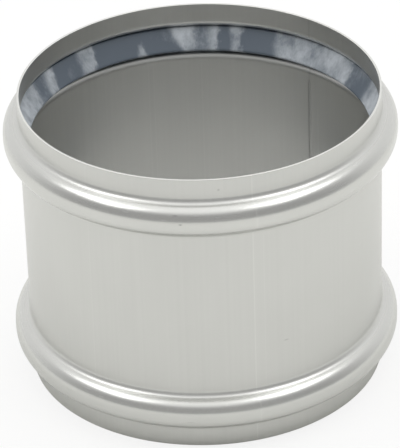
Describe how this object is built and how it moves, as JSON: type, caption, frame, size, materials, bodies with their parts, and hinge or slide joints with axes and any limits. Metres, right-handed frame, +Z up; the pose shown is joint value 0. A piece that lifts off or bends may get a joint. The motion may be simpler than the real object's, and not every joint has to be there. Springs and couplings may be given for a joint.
{
  "type": "slip coupling",
  "caption": "Straight sleeve of thin stainless sheet with a rolled bead and a rubber lip seal near each open end, to join two round pipes.",
  "frame": {"origin": "centre of the lower end, on the surface that the coupling stands on", "axes": "+Z up along the axis of the sleeve, from the lower end to the upper end; +X and +Y across it, with the weld at 50 degrees from +X towards +Y"},
  "size_m": [0.178, 0.178, 0.138],
  "materials": {
    "stainless_sheet": "pickled stainless sheet, satin, with faint lines along the axis, and brighter where the beads are rolled",
    "seal_rubber": "dark grey moulded rubber, matt, with a pale chalky bloom in patches"
  },
  "bodies": {
    "root": {"coupling_sleeve": "stainless_sheet", "upper_seal": "seal_rubber", "lower_seal": "seal_rubber"}
  },
  "joints": []
}
